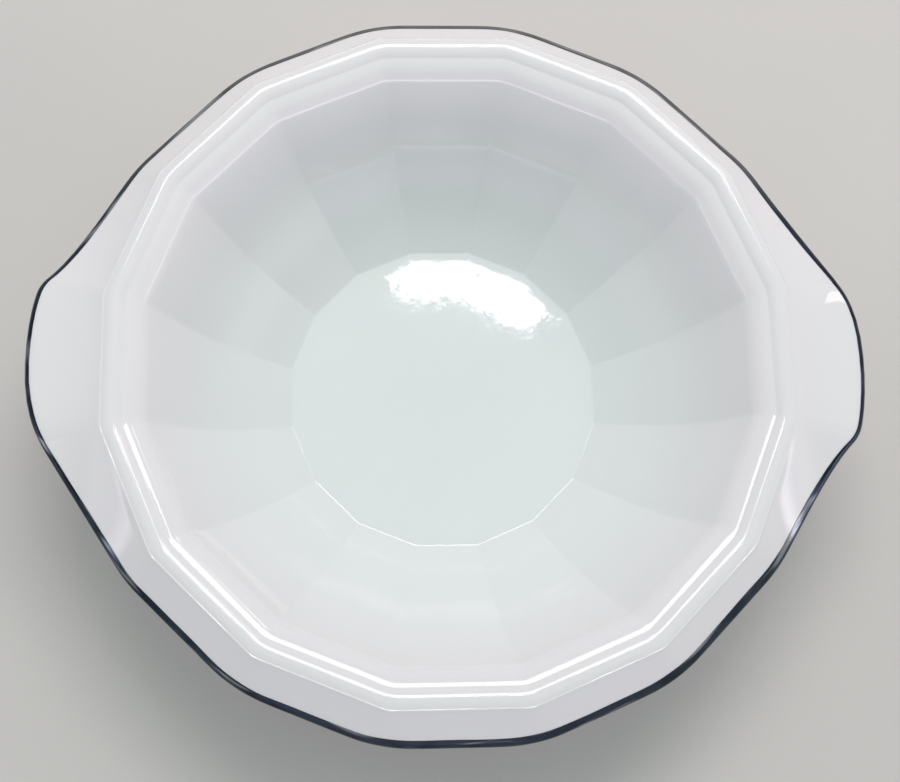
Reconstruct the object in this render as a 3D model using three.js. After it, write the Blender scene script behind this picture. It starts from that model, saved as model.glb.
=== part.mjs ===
import * as THREE from 'three';

// Cereal bowl with a flat floor, panelled walls, a bevelled verge, a drooping collar and two lugs.
// Millimetres, +Z up. The origin is the middle of the standing ring, and the lugs lie along X.

// Sides round the bowl
const LUG_SIDES = 3; // sides that one lug grows from
const PLAIN_SIDES = 5; // sides from one lug to the other

// Floor and foot
const FLOOR_FLATS = 73.2; // floor across its flats
const FLOOR_THICKNESS = 4.5;
const FOOT_RECESS = 1.8; // underside of the floor above the table
const FOOT_SPREAD = 1.6; // foot ring's outer edge beyond the floor's edge
const FOOT_WIDTH = 4.2; // standing ring, across
const FOOT_DRAFT = 1.2; // lean of the foot ring's inner face
const BARE_HEIGHT = 1.0; // foot left bare below the glaze line

// Wall
const INSIDE_DEPTH = 38.7; // floor up to the crest of the verge
const WALL_RUN = 30.7; // floor's edge out to the top of the wall
const WALL_BOW = 4.2; // hollow of the wall below its chord
const WALL_THICKNESS = 4.3;

// Verge, from the wall's top over the crest to the collar
const SHOULDER_RUN = 4.0;
const SHOULDER_RISE = 3.1;
const SHOULDER_BOW = 0.5;
const INNER_BEVEL_RUN = 2.4;
const INNER_BEVEL_RISE = 1.7;
const OUTER_BEVEL_RUN = 2.9;
const OUTER_BEVEL_FALL = 1.1;
const VERGE_THICKNESS = 6.3; // crest down to the crook under it
const CROOK_BOW = 0.8;

// Collar and its rolled edge
const COLLAR_RUN = 7.4; // verge out to the tip of the rim
const COLLAR_FALL = 7.5;
const EDGE_THICKNESS = 3.0;
const CORNER_RADIUS = 41; // rim's corners, seen from above

// Lugs: each has one soft corner and one sharp corner
const LUG_REACH = 9.8; // lug's outer edge beyond the rim
const LUG_FALL = 3.1; // verge down to the lug's edge
const SOFT_CORNER_REACH = 20; // soft corner, from the lug's middle
const SOFT_CORNER_SETBACK = 5.2; // soft corner, in from the outer edge
const SHARP_CORNER_REACH = 18.3;
const SHARP_CORNER_SETBACK = 2.3;
const FLARE_START_PULL = 11; // S-curve's handle where it leaves the rim
const FLARE_END_PULL = 9.9; // S-curve's handle at the sharp corner

// Coats
const GLAZE_THICKNESS = 0.5;
const BAND_THICKNESS = 0.3;
const BAND_WIDTH = 1.6; // metal line on the collar above the rolled edge

// Shape of the curves, as shares and angles
const LUG_SAG = 0.8; // how much of a lug's fall comes early
const SOFT_CORNER_EASE = 0.6;
const SHARP_CORNER_EASE = 0.5;
const FLARE_START_TURN = THREE.MathUtils.degToRad(12);
const FLARE_END_ANGLE = THREE.MathUtils.degToRad(225);

// Fineness of the surfaces
const WALL_STEPS = 4;
const BEND_STEPS = 2; // shoulder and crook
const COLLAR_STEPS = 3;
const EDGE_STEPS = 4;
const LUG_COLUMNS = 5; // columns on each side that carries a lug
const PLAIN_COLUMNS = 3; // columns on each other side
const OUTLINE_STEPS = 24;

// Angles that follow from the sides
const SIDES = 2 * (LUG_SIDES + PLAIN_SIDES);
const SIDE_ANGLE = (2 * Math.PI) / SIDES;
const LUG_CORNER = (LUG_SIDES * SIDE_ANGLE) / 2;

// Points of the section, as distance from the axis to a flat and height above the table
const FLOOR_EDGE = new THREE.Vector2(FLOOR_FLATS / 2, FOOT_RECESS + FLOOR_THICKNESS);
const CREST_HEIGHT = FLOOR_EDGE.y + INSIDE_DEPTH;
const WALL_TOP = new THREE.Vector2(
  FLOOR_EDGE.x + WALL_RUN,
  CREST_HEIGHT - INNER_BEVEL_RISE - SHOULDER_RISE,
);
const SHOULDER_TOP = new THREE.Vector2(WALL_TOP.x + SHOULDER_RUN, WALL_TOP.y + SHOULDER_RISE);
const CREST = new THREE.Vector2(SHOULDER_TOP.x + INNER_BEVEL_RUN, CREST_HEIGHT);
const VERGE_EDGE = new THREE.Vector2(CREST.x + OUTER_BEVEL_RUN, CREST_HEIGHT - OUTER_BEVEL_FALL);
const CROOK = new THREE.Vector2(CREST.x, CREST_HEIGHT - VERGE_THICKNESS);
const RIM_RADIUS = VERGE_EDGE.x + COLLAR_RUN;
const FOOT_RADIUS = FLOOR_EDGE.x + FOOT_SPREAD;
const GLAZE_LINE = new THREE.Vector2(FOOT_RADIUS + GLAZE_THICKNESS, BARE_HEIGHT);

const polar = (radius, angle) => new THREE.Vector2(Math.cos(angle), Math.sin(angle)).multiplyScalar(radius);

// A hollow or bulging line between two points, bowed to the right of the way from one to the other
function bowedPoints(from, to, bow, steps) {
  const chord = to.clone().sub(from);
  const right = new THREE.Vector2(chord.y, -chord.x).normalize();
  const control = from.clone().lerp(to, 0.5).addScaledVector(right, 2 * bow);
  return new THREE.QuadraticBezierCurve(from, control, to).getPoints(steps);
}

// Distance from the axis to a regular polygon along one direction
function facetRadius(flatRadius, angle) {
  const along = THREE.MathUtils.euclideanModulo((angle + LUG_CORNER) / SIDE_ANGLE, 1) - 0.5;
  return flatRadius / Math.cos(along * SIDE_ANGLE);
}

// Half of the rim seen from above: one lug, then the plain sides up to the other lug
function halfRimOutline() {
  const cornerRadius = RIM_RADIUS / Math.cos(SIDE_ANGLE / 2);
  const start = polar(cornerRadius, -LUG_CORNER);
  const startHandle = start.clone().add(
    polar(FLARE_START_PULL, Math.PI / 2 - LUG_CORNER - SIDE_ANGLE / 2 + FLARE_START_TURN),
  );
  const edge = RIM_RADIUS + LUG_REACH;
  const sharp = new THREE.Vector2(edge - SHARP_CORNER_SETBACK, -SHARP_CORNER_REACH);
  const sharpHandle = sharp.clone().add(polar(FLARE_END_PULL, FLARE_END_ANGLE));
  const soft = new THREE.Vector2(edge - SOFT_CORNER_SETBACK, SOFT_CORNER_REACH);

  const outline = new THREE.Path();
  outline.moveTo(start.x, start.y);
  outline.bezierCurveTo(startHandle.x, startHandle.y, sharpHandle.x, sharpHandle.y, sharp.x, sharp.y);
  outline.quadraticCurveTo(edge, -SHARP_CORNER_REACH * SHARP_CORNER_EASE, edge, 0);
  outline.quadraticCurveTo(edge, SOFT_CORNER_REACH * SOFT_CORNER_EASE, soft.x, soft.y);
  const flankEnd = polar(cornerRadius, LUG_CORNER);
  outline.lineTo(flankEnd.x, flankEnd.y);

  const tangent = CORNER_RADIUS * Math.tan(SIDE_ANGLE / 2);
  for (let side = 1; side < PLAIN_SIDES; side += 1) {
    const angle = LUG_CORNER + side * SIDE_ANGLE;
    const corner = polar(cornerRadius, angle);
    const before = polar(tangent, angle - Math.PI / 2 - SIDE_ANGLE / 2).add(corner);
    const after = polar(tangent, angle + Math.PI / 2 + SIDE_ANGLE / 2).add(corner);
    outline.lineTo(before.x, before.y);
    outline.quadraticCurveTo(corner.x, corner.y, after.x, after.y);
  }
  const end = polar(cornerRadius, Math.PI - LUG_CORNER);
  outline.lineTo(end.x, end.y);
  return outline.getPoints(OUTLINE_STEPS);
}

const RIM_OUTLINE = halfRimOutline();

// Where the rim's tip lies along one direction of the first half turn,
// and how squarely that direction meets the outline
function rimTip(angle) {
  const ray = polar(1, angle);
  const after = RIM_OUTLINE.findIndex((point, index) => index > 0 && point.cross(ray) < 0);
  const from = RIM_OUTLINE[after - 1];
  const along = RIM_OUTLINE[after].clone().sub(from);
  const share = from.cross(ray) / ray.cross(along);
  const radius = from.clone().addScaledVector(along, share).dot(ray);
  return { radius, squareness: ray.cross(along) / along.length() };
}

// Section of the collar along one direction: its top from the verge, and its rolled edge
function collarSection(angle) {
  const inner = facetRadius(VERGE_EDGE.x, angle);
  const tip = rimTip(angle);
  const lugShare = THREE.MathUtils.smoothstep(tip.radius - facetRadius(RIM_RADIUS, angle), 0, LUG_REACH);
  const fall = THREE.MathUtils.lerp(COLLAR_FALL, LUG_FALL, lugShare);
  const sag = LUG_SAG * lugShare;
  const slope = Math.atan2(fall * (1 - sag), tip.radius - inner);
  const edgeRadius = EDGE_THICKNESS / 2;
  const outer = tip.radius - edgeRadius * (1 - Math.sin(slope));
  const topAt = (radius) => {
    const share = (radius - inner) / (outer - inner);
    return new THREE.Vector2(radius, VERGE_EDGE.y - fall * (share + sag * share * (1 - share)));
  };
  const bandStart = outer - BAND_WIDTH / tip.squareness;
  const edgeMiddle = topAt(outer).sub(polar(edgeRadius, Math.PI / 2 - slope));
  return {
    top: (share) => topAt(THREE.MathUtils.lerp(inner, bandStart, share)),
    edge: (turn) => polar(edgeRadius, Math.PI / 2 - slope - turn).add(edgeMiddle),
  };
}

// Directions of the grid's columns, with one on every corner
function columnAngles() {
  const angles = [];
  for (let side = 0; side < SIDES; side += 1) {
    const columns = side % (SIDES / 2) < LUG_SIDES ? LUG_COLUMNS : PLAIN_COLUMNS;
    for (let column = 0; column < columns; column += 1) {
      angles.push((side + column / columns) * SIDE_ANGLE - LUG_CORNER);
    }
  }
  return angles;
}

const COLUMNS = columnAngles();
const HALF_TURN = COLUMNS.length / 2;
const COLLAR_SECTIONS = COLUMNS.map((angle, column) => collarSection(COLUMNS[column % HALF_TURN]));

const pole = (height) => [new THREE.Vector3(0, 0, height)];
const ring = (sectionAt) => COLUMNS.map((angle, column) => {
  const point = sectionAt(angle, column);
  const plan = polar(point.x, angle);
  return new THREE.Vector3(plan.x, plan.y, point.y);
});
const facetRing = (point) => ring((angle) => new THREE.Vector2(facetRadius(point.x, angle), point.y));
const collarRing = (share) => ring((angle, column) => COLLAR_SECTIONS[column].top(share));
const edgeRing = (turn) => ring((angle, column) => COLLAR_SECTIONS[column].edge(turn));

// Glazed surface, ring by ring: the floor's middle, the wall, the verge, the collar, then the outside
function glazedRings() {
  const wall = bowedPoints(FLOOR_EDGE, WALL_TOP, WALL_BOW, WALL_STEPS);
  const shoulder = bowedPoints(WALL_TOP, SHOULDER_TOP, -SHOULDER_BOW, BEND_STEPS);
  const rings = [pole(FLOOR_EDGE.y)];
  rings.push(...wall.map(facetRing));
  rings.push(...shoulder.slice(1).map(facetRing));
  rings.push(facetRing(CREST), facetRing(VERGE_EDGE));
  for (let step = 1; step <= COLLAR_STEPS; step += 1) {
    rings.push(collarRing(step / COLLAR_STEPS));
  }
  const bandStart = rings.length - 1;
  for (let step = 0; step <= EDGE_STEPS; step += 1) {
    rings.push(edgeRing((step / EDGE_STEPS) * Math.PI));
  }
  const underside = rings.length - 1;
  const tip = underside - EDGE_STEPS / 2;
  const bandEnd = underside - 1;

  const chord = WALL_TOP.clone().sub(FLOOR_EDGE).normalize();
  const outward = new THREE.Vector2(chord.y, -chord.x).multiplyScalar(WALL_THICKNESS);
  const outerTop = WALL_TOP.clone().add(outward);
  const outerFoot = FLOOR_EDGE.clone().add(outward);
  const outerWall = bowedPoints(outerTop, outerFoot, -WALL_BOW, WALL_STEPS);
  rings.push(...bowedPoints(CROOK, outerTop, CROOK_BOW, BEND_STEPS).map(facetRing));
  rings.push(...outerWall.slice(1).map(facetRing));
  rings.push(facetRing(GLAZE_LINE));
  return { rings, bandStart, tip, bandEnd };
}

// Triangles between successive rings, facing up where the rings widen
function sheet(rings) {
  const triangles = [];
  const add = (a, b, c) => {
    if (a !== b && b !== c && c !== a) triangles.push([a, b, c]);
  };
  for (let row = 1; row < rings.length; row += 1) {
    const inner = rings[row - 1];
    const outer = rings[row];
    for (let column = 0; column < COLUMNS.length; column += 1) {
      const next = (column + 1) % COLUMNS.length;
      const innerNow = inner[column % inner.length];
      const innerNext = inner[next % inner.length];
      const outerNow = outer[column % outer.length];
      const outerNext = outer[next % outer.length];
      add(innerNow, outerNow, outerNext);
      add(innerNow, outerNext, innerNext);
    }
  }
  return triangles;
}

const flipped = (triangles) => triangles.map(([a, b, c]) => [a, c, b]);

// Direction out of a surface at each of its points
function pointNormals(triangles) {
  const normals = new Map();
  for (const [a, b, c] of triangles) {
    const face = b.clone().sub(a).cross(c.clone().sub(a));
    for (const point of [a, b, c]) {
      if (!normals.has(point)) normals.set(point, new THREE.Vector3());
      normals.get(point).add(face);
    }
  }
  normals.forEach((normal) => normal.normalize());
  return normals;
}

const moved = (rings, normals, distance) => rings.map(
  (points) => points.map((point) => point.clone().addScaledVector(normals.get(point), distance)),
);

// Between two matching layers: the outer one, the inner one turned over, and the walls at their ends
function coat(outerRings, innerRings, ends) {
  return [...sheet(outerRings), ...flipped(sheet(innerRings)), ...ends];
}

function solid(name, triangles, material) {
  const geometry = new THREE.BufferGeometry().setFromPoints(triangles.flat());
  geometry.computeVertexNormals();
  const mesh = new THREE.Mesh(geometry, material);
  mesh.name = name;
  return mesh;
}

const glazed = glazedRings();
const skin = glazed.rings;
const skinNormals = pointNormals(sheet(skin));
const body = moved(skin, skinNormals, -GLAZE_THICKNESS);

// Bare foot and the floor's underside
const footOuter = facetRing(new THREE.Vector2(FOOT_RADIUS, 0));
const footInner = facetRing(new THREE.Vector2(FOOT_RADIUS - FOOT_WIDTH, 0));
const BASE_RADIUS = FOOT_RADIUS - FOOT_WIDTH - FOOT_DRAFT;
const baseSkin = [facetRing(new THREE.Vector2(BASE_RADIUS, FOOT_RECESS)), pole(FOOT_RECESS)];
const BASE_BODY_HEIGHT = FOOT_RECESS + GLAZE_THICKNESS;
const baseBody = [facetRing(new THREE.Vector2(BASE_RADIUS, BASE_BODY_HEIGHT)), pole(BASE_BODY_HEIGHT)];

// Layers between the ends that the coats and the metal line share
const insideSkin = skin.slice(0, glazed.tip + 1);
const insideBody = body.slice(0, glazed.tip + 1);
const outsideSkin = skin.slice(glazed.tip);
const outsideBody = body.slice(glazed.tip);
const bandedSkin = skin.slice(glazed.bandStart, glazed.bandEnd + 1);
const band = moved(bandedSkin, skinNormals, BAND_THICKNESS);
const tipWall = sheet([skin[glazed.tip], body[glazed.tip]]);
const outsideWalls = [...sheet([skin.at(-1), body.at(-1)]), ...flipped(tipWall)];
const bandWalls = [
  ...sheet([band.at(-1), bandedSkin.at(-1)]),
  ...flipped(sheet([band[0], bandedSkin[0]])),
];

const biscuit = new THREE.MeshStandardMaterial({ color: 0xe8e2d5, roughness: 0.8, metalness: 0 });
const whiteGlaze = new THREE.MeshStandardMaterial({ color: 0xe6e8e5, roughness: 0.08, metalness: 0 });
const platinum = new THREE.MeshStandardMaterial({ color: 0x9aa2ac, roughness: 0.15, metalness: 1 });

const bowl = new THREE.Group();
bowl.add(
  solid('porcelain_body', sheet([...body, footOuter, footInner, ...baseBody]), biscuit),
  solid('inside_glaze', coat(insideSkin, insideBody, tipWall), whiteGlaze),
  solid('outside_glaze', coat(outsideSkin, outsideBody, outsideWalls), whiteGlaze),
  solid('base_glaze', coat(baseSkin, baseBody, sheet([baseBody[0], baseSkin[0]])), whiteGlaze),
  solid('platinum_band', coat(band, bandedSkin, bandWalls), platinum),
);

export default bowl;
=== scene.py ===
"""Lugged cereal bowl: the finish of its casting, glaze coats and metal line, on a plain stage."""
import functools
import math

import bpy
from mathutils import Matrix, Vector


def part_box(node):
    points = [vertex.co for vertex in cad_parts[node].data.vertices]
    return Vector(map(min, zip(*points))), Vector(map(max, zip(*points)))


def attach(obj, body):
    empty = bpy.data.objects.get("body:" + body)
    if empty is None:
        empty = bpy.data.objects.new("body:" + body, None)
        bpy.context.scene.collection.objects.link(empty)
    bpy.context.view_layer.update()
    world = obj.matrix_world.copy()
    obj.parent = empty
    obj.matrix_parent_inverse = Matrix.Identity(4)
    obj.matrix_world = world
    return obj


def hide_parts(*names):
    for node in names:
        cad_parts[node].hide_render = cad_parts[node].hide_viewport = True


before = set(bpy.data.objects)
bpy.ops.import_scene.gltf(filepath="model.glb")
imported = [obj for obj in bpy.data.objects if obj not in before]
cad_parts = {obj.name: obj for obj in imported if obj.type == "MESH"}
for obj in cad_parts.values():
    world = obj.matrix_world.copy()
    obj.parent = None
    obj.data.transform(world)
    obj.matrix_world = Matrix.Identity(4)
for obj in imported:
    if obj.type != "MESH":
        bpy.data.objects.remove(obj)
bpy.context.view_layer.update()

bl_info = {
    "name": "Lugged Cereal Bowl",
    "version": (1, 0, 0),
    "blender": (4, 5, 0),
    "location": "View3D > Sidebar > Bowl",
    "description": "Panelled cereal bowl with two lugs, glazed white, with a metal line round its rim",
    "category": "Add Mesh",
}

# Sizes that the parts in model.glb already hold, in metres
INSIDE_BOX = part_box("inside_glaze")
OUTSIDE_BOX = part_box("outside_glaze")
BASE_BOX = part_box("base_glaze")
GLAZE = BASE_BOX[1].z - BASE_BOX[0].z
CREST_HEIGHT = INSIDE_BOX[1].z
FLOOR_HEIGHT = INSIDE_BOX[0].z + GLAZE
RIM_RADIUS = INSIDE_BOX[1].y
LUG_EDGE = INSIDE_BOX[1].x
BASE_RADIUS = BASE_BOX[1].x
BASE_HEIGHT = BASE_BOX[0].z
GLAZE_LINE = OUTSIDE_BOX[0].z

# Sides round the bowl
SIDES = 16
LUG_SIDES = 3
PLAIN_SIDES = SIDES // 2 - LUG_SIDES
SIDE_ANGLE = math.tau / SIDES
LUG_CORNER = LUG_SIDES * SIDE_ANGLE / 2

# Fineness of the surfaces: columns beside each corner, in degrees, and points along each stretch
CORNER_OFFSETS = (0, 0.1, 0.2, 0.32, 0.6, 1.0, 1.5, 2.1, 2.9, 4.0, 6.0, 8.5)
FLOOR_STEPS = 14
WALL_STEPS = 24
BEND_STEPS = 10
COLLAR_STEPS = 10
BAND_STEPS = 3
EDGE_STEPS = 16
SOFT_STEPS = 6
OUTLINE_STEPS = 40

# Points of the rolled edge where the two glazes meet and where the metal line ends
EDGE_TIP = BAND_STEPS + EDGE_STEPS // 2
BAND_END = BAND_STEPS + EDGE_STEPS * 3 // 4

# Limits that the meshes keep, and the values that their points carry until they have panels
LEAST_RADIUS = 0.0001
MERGE_DISTANCE = 1e-7
SHARP_ANGLE = math.radians(40)
PANEL_ATTRIBUTE = "panel_radius"
SOFTNESS_ATTRIBUTE = "corner_softness"

# How the floor's rings crowd towards its edge, how late the floor rises there, and the pull of a soft corner
FLOOR_SPACING = 1.6
DISH_POWER = 16
SOFT_HANDLE_SHARE = 0.6

# How far each edge of the section is eased or worn, and the fine ridge at the top of the collar
FLOOR_EASE = 0.00028
WALL_TOP_EASE = 0.0012
FIRST_EDGE_EASE = 0.0002
CREST_EASE = 0.0024
CREST_LIFT = 0.0001
RIDGE_EASE = 0.0001
RIDGE_RUN = 0.0003
RIDGE_RISE = 0.0002
CROOK_EASE = 0.0008
FOOT_EASE = 0.0005
FOOT_WEAR = 0.0004
FOOT_BEVEL = FOOT_WEAR * 0.3

# How the metal line is drawn: sine of the slope where it has its own width, where it is thinnest, the least
# length of its start, and the waves in its edge, each with a share, a number round the bowl and a phase
STEEP = math.sin(math.pi / 4)
THIN_TURN = math.radians(205)
BAND_LEAD = 0.0003
LINE_WAVES = ((0.5, 7, 0.4), (0.3, 19, 1.9), (0.2, 43, 0.7))

# How soft the corners between panels are at each ring of the section, as a share of its radius
CRISP_CORNER = 0.0018
WALL_TOP_CORNER = 0.008
FIRST_EDGE_CORNER = 0.012
CREST_CORNER = 0.03
COLLAR_CORNER = 0.010

# Heights between which the glaze is painted a cooler, lighter white, as painted light low in the well, and
# how uneven it is
WELL_DEPTH = 0.010
WELL_TOP = 0.041
WELL_LIGHT_SHARES = (0.8, 1.0)

# Tone and gloss of the finishes
CLOUD_DETAIL = 3.0
CLOUD_ROUGHNESS = 0.45
CLOUD_RANGE = (0.35, 0.65)
GRAIN_DETAIL = 2.0
GLAZE_IOR = 1.6
GLOSS_SPREAD = 1.6
BISCUIT_ROUGHNESS = (0.6, 0.85)
METAL_ROUGHNESS = (0.12, 0.24)
STREAK_SCALE = (60.0, 60.0, 700.0)
STREAK_DETAIL = 2.0
STREAK_RANGE = (0.54, 0.72)
FLOOR_SHADE = 0.96
FLOOR_ROUGHNESS = 0.7

# Which sockets of a mix node hold its two colours and their mixture
MIX_PLAIN, MIX_MARKED, MIX_RESULT = 6, 7, 2

# The camera: the photograph's frame and lens in pixels, where the lens axis meets the frame, and a near limit
PHOTO_WIDTH = 900
PHOTO_HEIGHT = 782
AXIS_PIXEL = (452.3, 353.0)
FOCAL_PIXELS = 1600
SENSOR_WIDTH = 36.0
CLIP_START = 0.01

# Half the width of the plain floor
FLOOR_HALF = 12.0

# Flat lights overhead: name, size and place as shares of their height, turn in degrees, and which of the
# stage's radiances and colours each one has
LIGHT_HEIGHT = 1.0
SOFTBOXES = (
    ("key", (0.80, 0.45), (0.125, 0.65), 0, "key_radiance", "key_colour"),
    ("key toe", (0.23, 0.07), (-0.16, 0.39), 0, "key_radiance", "key_colour"),
    ("side pane", (0.26, 0.42), (0.80, 0.95), 0, "side_radiance", "key_colour"),
    ("left pane", (0.066, 0.06), (0.050, 0.366), -1, "lamp_radiance", "lamp_colour"),
    ("right pane", (0.066, 0.06), (0.123, 0.345), -29, "lamp_radiance", "lamp_colour"),
)

# Where the light of the room changes, as parts of a direction of length 1
WALLS_Y = (-0.7, 0.4)
FRONT_Y = (-0.3, 0.2)
CEILING_Z = (0.6, 0.95)
TINT_Z = (0.45, 0.95)
LOW_Z = (0.36, 0.56)
HORIZON_Z = (-0.02, 0.07)
LOW_X = (-0.6, 0.6)
BAND_Z = (0.06, 0.21)
BAND_LEFT_X = (-0.8, -0.4)
BAND_RIGHT_X = (0.4, 0.8)

# Shares of the low light, and of its bright band, that reach the far left and the far right
LOW_SIDES = (0.9, 1.14)
BAND_SIDES = (0.4, 0.6)


def length(name, description, default):
    """A size of the bowl, in metres."""
    return bpy.props.FloatProperty(
        name=name, description=description, default=default, unit="LENGTH", subtype="DISTANCE", precision=5
    )


def amount(name, description, default):
    """A plain number."""
    return bpy.props.FloatProperty(name=name, description=description, default=default, precision=3)


def angle(name, description, degrees):
    """An angle, shown in degrees."""
    return bpy.props.FloatProperty(
        name=name, description=description, default=math.radians(degrees), unit="ROTATION", subtype="ANGLE"
    )


def colour(name, description, default):
    """A linear colour."""
    return bpy.props.FloatVectorProperty(
        name=name, description=description, default=default, size=3, min=0.0, max=1.0, subtype="COLOR"
    )


class BowlShape(bpy.types.PropertyGroup):
    """Sizes of the bowl's glazed surface"""

    floor_radius: length("Floor Radius", "Axis to a flat of the floor's edge", 0.0366)
    floor_height: length("Floor Height", "Floor above the table", FLOOR_HEIGHT)
    floor_dish: length("Floor Dish", "Rise of the floor towards its edge", 0.00009)
    wall_run: length("Wall Run", "Floor's edge out to the top of the wall", 0.0307)
    wall_bow: length("Wall Bow", "Hollow of the wall below its chord", 0.0042)
    wall_thickness: length("Wall Thickness", "Across the wall", 0.0043)
    shoulder_run: length("Shoulder Run", "Wall top out to the first edge", 0.0046)
    shoulder_rise: length("Shoulder Rise", "Wall top up to the first edge", 0.0031)
    shoulder_bow: length("Shoulder Bow", "Bulge of the shoulder", 0.00052)
    inner_bevel_run: length("Inner Bevel Run", "First edge out to the crest", 0.0021)
    inner_bevel_rise: length("Inner Bevel Rise", "First edge up to the crest", 0.0017)
    crest_height: length("Crest Height", "Crest of the verge above the table", CREST_HEIGHT)
    outer_bevel_run: length("Outer Bevel Run", "Crest out to the collar", 0.0026)
    outer_bevel_fall: length("Outer Bevel Fall", "Crest down to the collar", 0.0011)
    verge_thickness: length("Verge Thickness", "Crest down to the crook under it", 0.0063)
    crook_bow: length("Crook Bow", "Hollow of the crook under the verge", 0.0008)
    collar_fall: length("Collar Fall", "Verge down to the rolled edge", 0.0075)
    edge_thickness: length("Edge Thickness", "Rolled edge of the rim", 0.0030)
    rim_radius: length("Rim Radius", "Axis to a flat of the rim", RIM_RADIUS)
    rim_corner: length("Rim Corner", "Radius of the rim's corners from above", 0.041)
    lug_edge: length("Lug Edge", "Axis to a lug's outer edge", LUG_EDGE)
    lug_fall: length("Lug Fall", "Verge down to a lug's edge", 0.0031)
    lug_sag: amount("Lug Sag", "How much of a lug's fall comes early", 0.8)
    soft_corner_reach: length("Soft Corner Reach", "Lug's middle to its soft corner", 0.020)
    soft_corner_setback: length("Soft Corner Setback", "Soft corner in from the lug's edge", 0.0052)
    sharp_corner_reach: length("Sharp Corner Reach", "Lug's middle to its sharp corner", 0.0183)
    sharp_corner_setback: length("Sharp Corner Setback", "Sharp corner in from the lug's edge", 0.0023)
    sharp_corner_ease: length("Sharp Corner Ease", "How far the sharp corner is rounded", 0.0022)
    flare_start_pull: length("Flare Start Pull", "Handle where the flare leaves the rim", 0.011)
    flare_end_pull: length("Flare End Pull", "Handle where the flare meets the sharp corner", 0.0099)
    flare_turn: angle("Flare Turn", "Turn where the flare leaves the rim", 12)
    flare_end: angle("Flare End", "Direction back along the flare from the sharp corner", 225)
    base_radius: length("Base Radius", "Axis to a flat of the glaze under the floor", BASE_RADIUS)
    base_height: length("Base Height", "Glaze under the floor above the table", BASE_HEIGHT)
    foot_spread: length("Foot Spread", "Foot beyond the floor's edge", 0.0016)
    foot_width: length("Foot Width", "Standing ring, across", 0.0042)
    glaze_line: length("Glaze Line", "Bare foot below the glaze", GLAZE_LINE)
    glaze_thickness: length("Glaze Thickness", "Depth of each glaze coat", GLAZE)
    band_width: length("Band Width", "Metal line above the rolled edge, where the collar is steep", 0.0011)
    band_setback: length("Band Setback", "How far round a lug's edge the line starts", 0.0005)
    band_thickness: length("Band Thickness", "Depth of the metal line", 0.00012)
    band_thinning: amount("Band Thinning", "How much narrower the line is drawn on one side", 0.4)
    band_waver: length("Band Waver", "How far the hand-drawn line strays", 0.00012)


class BowlFinish(bpy.types.PropertyGroup):
    """Colours and gloss of the bowl's surfaces"""

    glaze_colour: colour("Glaze", "White of the glaze", (0.77, 0.765, 0.757))
    # Painted light: a cooler, lighter white low in the well that stands in for the light falling there
    well_light_tint: colour("Well Light Tint", "Cooler white where the glaze pools in the well", (0.765, 0.805, 0.790))
    speck_colour: colour("Specks", "Iron specks in the glaze", (0.30, 0.27, 0.24))
    biscuit_colour: colour("Biscuit", "Bare fired body", (0.74, 0.70, 0.62))
    biscuit_stain: colour("Biscuit Stain", "Rubbed dirt on the bare foot", (0.52, 0.47, 0.40))
    # Painted reflection: the metal colours are dark, standing in for the dark room that the bright metal
    # reflects, darker still on random patches, and the streak colour is a painted glint
    metal_dark_reflection: colour("Metal", "Fired metal line", (0.05, 0.065, 0.09))
    metal_darker_reflection: colour("Metal Darker Reflection", "Metal line where it is thin", (0.022, 0.029, 0.042))
    metal_glint_streak: colour("Metal Glint Streak", "Brush strokes of thicker metal", (0.32, 0.345, 0.37))
    gloss: amount("Gloss", "Roughness of the glaze", 0.032)


class BowlStage(bpy.types.PropertyGroup):
    """Camera, floor and light"""

    floor_colour: colour("Floor", "Plain pale floor", (0.62, 0.60, 0.57))
    backdrop_colour: colour("Backdrop", "Plain tone behind the floor", (0.50, 0.49, 0.47))
    sight_height: length("Sight Height", "Height that the camera aims at, on the axis", 0.04546)
    distance: length("Distance", "Camera from the point that it aims at", 0.3517)
    azimuth: angle("Azimuth", "Camera round the bowl", -12.97)
    elevation: angle("Elevation", "Camera above the horizon", 74.14)
    roll: angle("Roll", "Turn of the camera about its axis", 12.02)
    key_radiance: amount("Key Radiance", "Softbox overhead, behind the bowl, and its toe", 5.9)
    key_colour: colour("Key Colour", "Colour of the softbox and the pane to the right", (1.0, 0.88, 0.90))
    side_radiance: amount("Side Radiance", "Pane to the right that shows in one lug", 3.8)
    lamp_radiance: amount("Lamp Radiance", "Two small panes that show in the floor", 10.0)
    lamp_colour: colour("Lamp Colour", "Colour of the small panes", (1.0, 1.0, 1.0))
    high_colour: colour("High Colour", "Colour of the soft light from above", (0.79, 1.0, 0.95))
    low_colour: colour("Low Colour", "Colour of the soft light from the sides", (0.95, 0.89, 1.0))
    wall_front: amount("Front Wall", "Light from the camera's side", 0.20)
    wall_back: amount("Back Wall", "Light from the side behind the bowl", 0.62)
    ceiling: amount("Ceiling", "Light added from straight above", 0.32)
    low_front: amount("Low Front", "Light added low on the camera's side", 0.70)
    low_band: amount("Low Band", "Light added just above the horizon on the camera's side", 3.6)


def polar(radius, turn):
    """A point in plan, or in a section, at a distance along a direction."""
    return Vector((math.cos(turn), math.sin(turn))) * radius


def quadratic(start, control, end, steps):
    """Points of a curve with one handle, without its first point."""
    points = []
    for step in range(1, steps + 1):
        t = step / steps
        points.append(start * (1 - t) ** 2 + control * (2 * t * (1 - t)) + end * t ** 2)
    return points


def cubic(start, first, second, end, steps):
    """Points of a curve with two handles, without its first point."""
    points = []
    for step in range(1, steps + 1):
        t = step / steps
        s = 1 - t
        points.append(start * s ** 3 + first * (3 * s * s * t) + second * (3 * s * t * t) + end * t ** 3)
    return points


def panelled(radius, height, softness=CRISP_CORNER):
    """A point of a section whose whole distance from the axis follows the panels."""
    return Vector((radius, height, radius, softness))


def sideways(distance, turn):
    """A step within a section."""
    step = polar(distance, turn)
    return Vector((step.x, step.y, 0, 0))


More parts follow.
